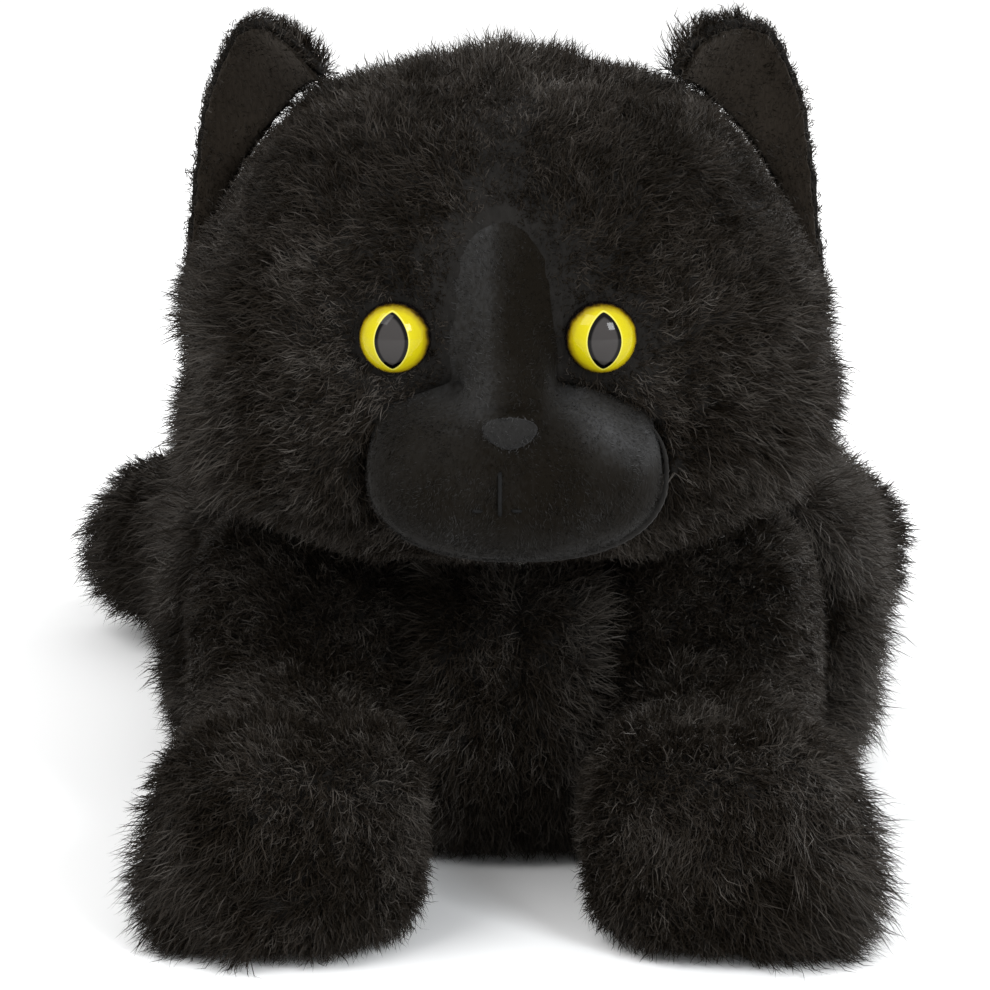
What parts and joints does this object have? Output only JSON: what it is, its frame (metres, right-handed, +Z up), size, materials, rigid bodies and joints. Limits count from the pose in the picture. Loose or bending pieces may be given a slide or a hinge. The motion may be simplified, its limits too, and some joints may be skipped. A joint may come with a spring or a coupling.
{
  "type": "plush cat",
  "caption": "Black plush cat lying on its belly, with a big round head, glossy yellow eyes, a short-pile muzzle, soft ears, stretched legs and a curled tail.",
  "frame": {"origin": "on the flat underside of the belly, where it meets the surface that the cat lies on, midway between the eyes in width", "axes": "+Z up, the cat looks along -Y and its tail end is +Y; +X is to the right of a viewer who looks the cat in the face"},
  "size_m": [0.204, 0.3412, 0.185],
  "materials": {
    "pile_fabric": "long soft black pile",
    "velvet": "short black velvet pile with a cool sheen",
    "ear_velvet": "short brown-black velvet",
    "stuffing": "loose white polyester fibre",
    "thread": "black sewing thread",
    "eye_plastic": "clear dome over a yellow iris",
    "washer_plastic": "plain moulded"
  },
  "bodies": {
    "torso": {"back_panel_left": "pile_fabric", "back_panel_right": "pile_fabric", "belly_panel": "pile_fabric", "torso_stuffing": "stuffing", "closing_stitches": "thread"},
    "neck": {"neck_stuffing": "stuffing"},
    "head": {"face_panel_left": "pile_fabric", "face_panel_right": "pile_fabric", "head_back_panel": "pile_fabric", "bridge_panel": "velvet", "head_stuffing": "stuffing", "muzzle_panel": "velvet", "muzzle_stuffing": "stuffing", "nose": "velvet", "mouth_stitch": "thread", "eye_left": "eye_plastic", "eye_right": "eye_plastic", "eye_washer_left": "washer_plastic", "eye_washer_right": "washer_plastic"},
    "ear_left": {"ear_back_left": "pile_fabric", "ear_lining_left": "ear_velvet"},
    "ear_right": {"ear_back_right": "pile_fabric", "ear_lining_right": "ear_velvet"},
    "foreleg_left": {"foreleg_outer_panel_left": "pile_fabric", "foreleg_inner_panel_left": "pile_fabric", "foreleg_stuffing_left": "stuffing"},
    "foreleg_right": {"foreleg_outer_panel_right": "pile_fabric", "foreleg_inner_panel_right": "pile_fabric", "foreleg_stuffing_right": "stuffing"},
    "hindleg_left": {"hindleg_upper_panel_left": "pile_fabric", "hindleg_lower_panel_left": "pile_fabric", "hindleg_stuffing_left": "stuffing"},
    "hindleg_right": {"hindleg_upper_panel_right": "pile_fabric", "hindleg_lower_panel_right": "pile_fabric", "hindleg_stuffing_right": "stuffing"},
    "tail": {"tail_upper_panel": "pile_fabric", "tail_lower_panel": "pile_fabric", "tail_stuffing": "stuffing"}
  },
  "joints": [
    {"name": "neck_turn", "type": "hinge", "parent": "torso", "child": "neck", "pos_m": [0, -0.058, 0.076], "axis": [0, 0, 1], "range_deg": [-12, 12]},
    {"name": "head_nod", "type": "hinge", "parent": "neck", "child": "head", "pos_m": [0, -0.058, 0.076], "axis": [1, 0, 0], "range_deg": [-10, 4]},
    {"name": "ear_fold_left", "type": "hinge", "parent": "head", "child": "ear_left", "pos_m": [-0.0445, -0.067, 0.157], "axis": [-0.6804, 0.4203, -0.6004], "range_deg": [-8, 12], "stiffness_Nm_per_rad": 0.01},
    {"name": "ear_fold_right", "type": "hinge", "parent": "head", "child": "ear_right", "pos_m": [0.0485, -0.067, 0.157], "axis": [0.6804, 0.4203, -0.6004], "range_deg": [-12, 8], "stiffness_Nm_per_rad": 0.01},
    {"name": "foreleg_lift_left", "type": "hinge", "parent": "torso", "child": "foreleg_left", "pos_m": [-0.042, -0.058, 0.036], "axis": [-1, 0, 0], "range_deg": [-20, 12]},
    {"name": "foreleg_lift_right", "type": "hinge", "parent": "torso", "child": "foreleg_right", "pos_m": [0.046, -0.058, 0.036], "axis": [-1, 0, 0], "range_deg": [-20, 12]},
    {"name": "hindleg_splay_left", "type": "hinge", "parent": "torso", "child": "hindleg_left", "pos_m": [-0.054, 0.084, 0.03], "axis": [0, 0, 1], "range_deg": [0, 22]},
    {"name": "hindleg_splay_right", "type": "hinge", "parent": "torso", "child": "hindleg_right", "pos_m": [0.054, 0.084, 0.03], "axis": [0, 0, -1], "range_deg": [0, 22]},
    {"name": "tail_swing", "type": "hinge", "parent": "torso", "child": "tail", "pos_m": [0, 0.15, 0.024], "axis": [0, 0, -1], "range_deg": [0, 60]}
  ]
}
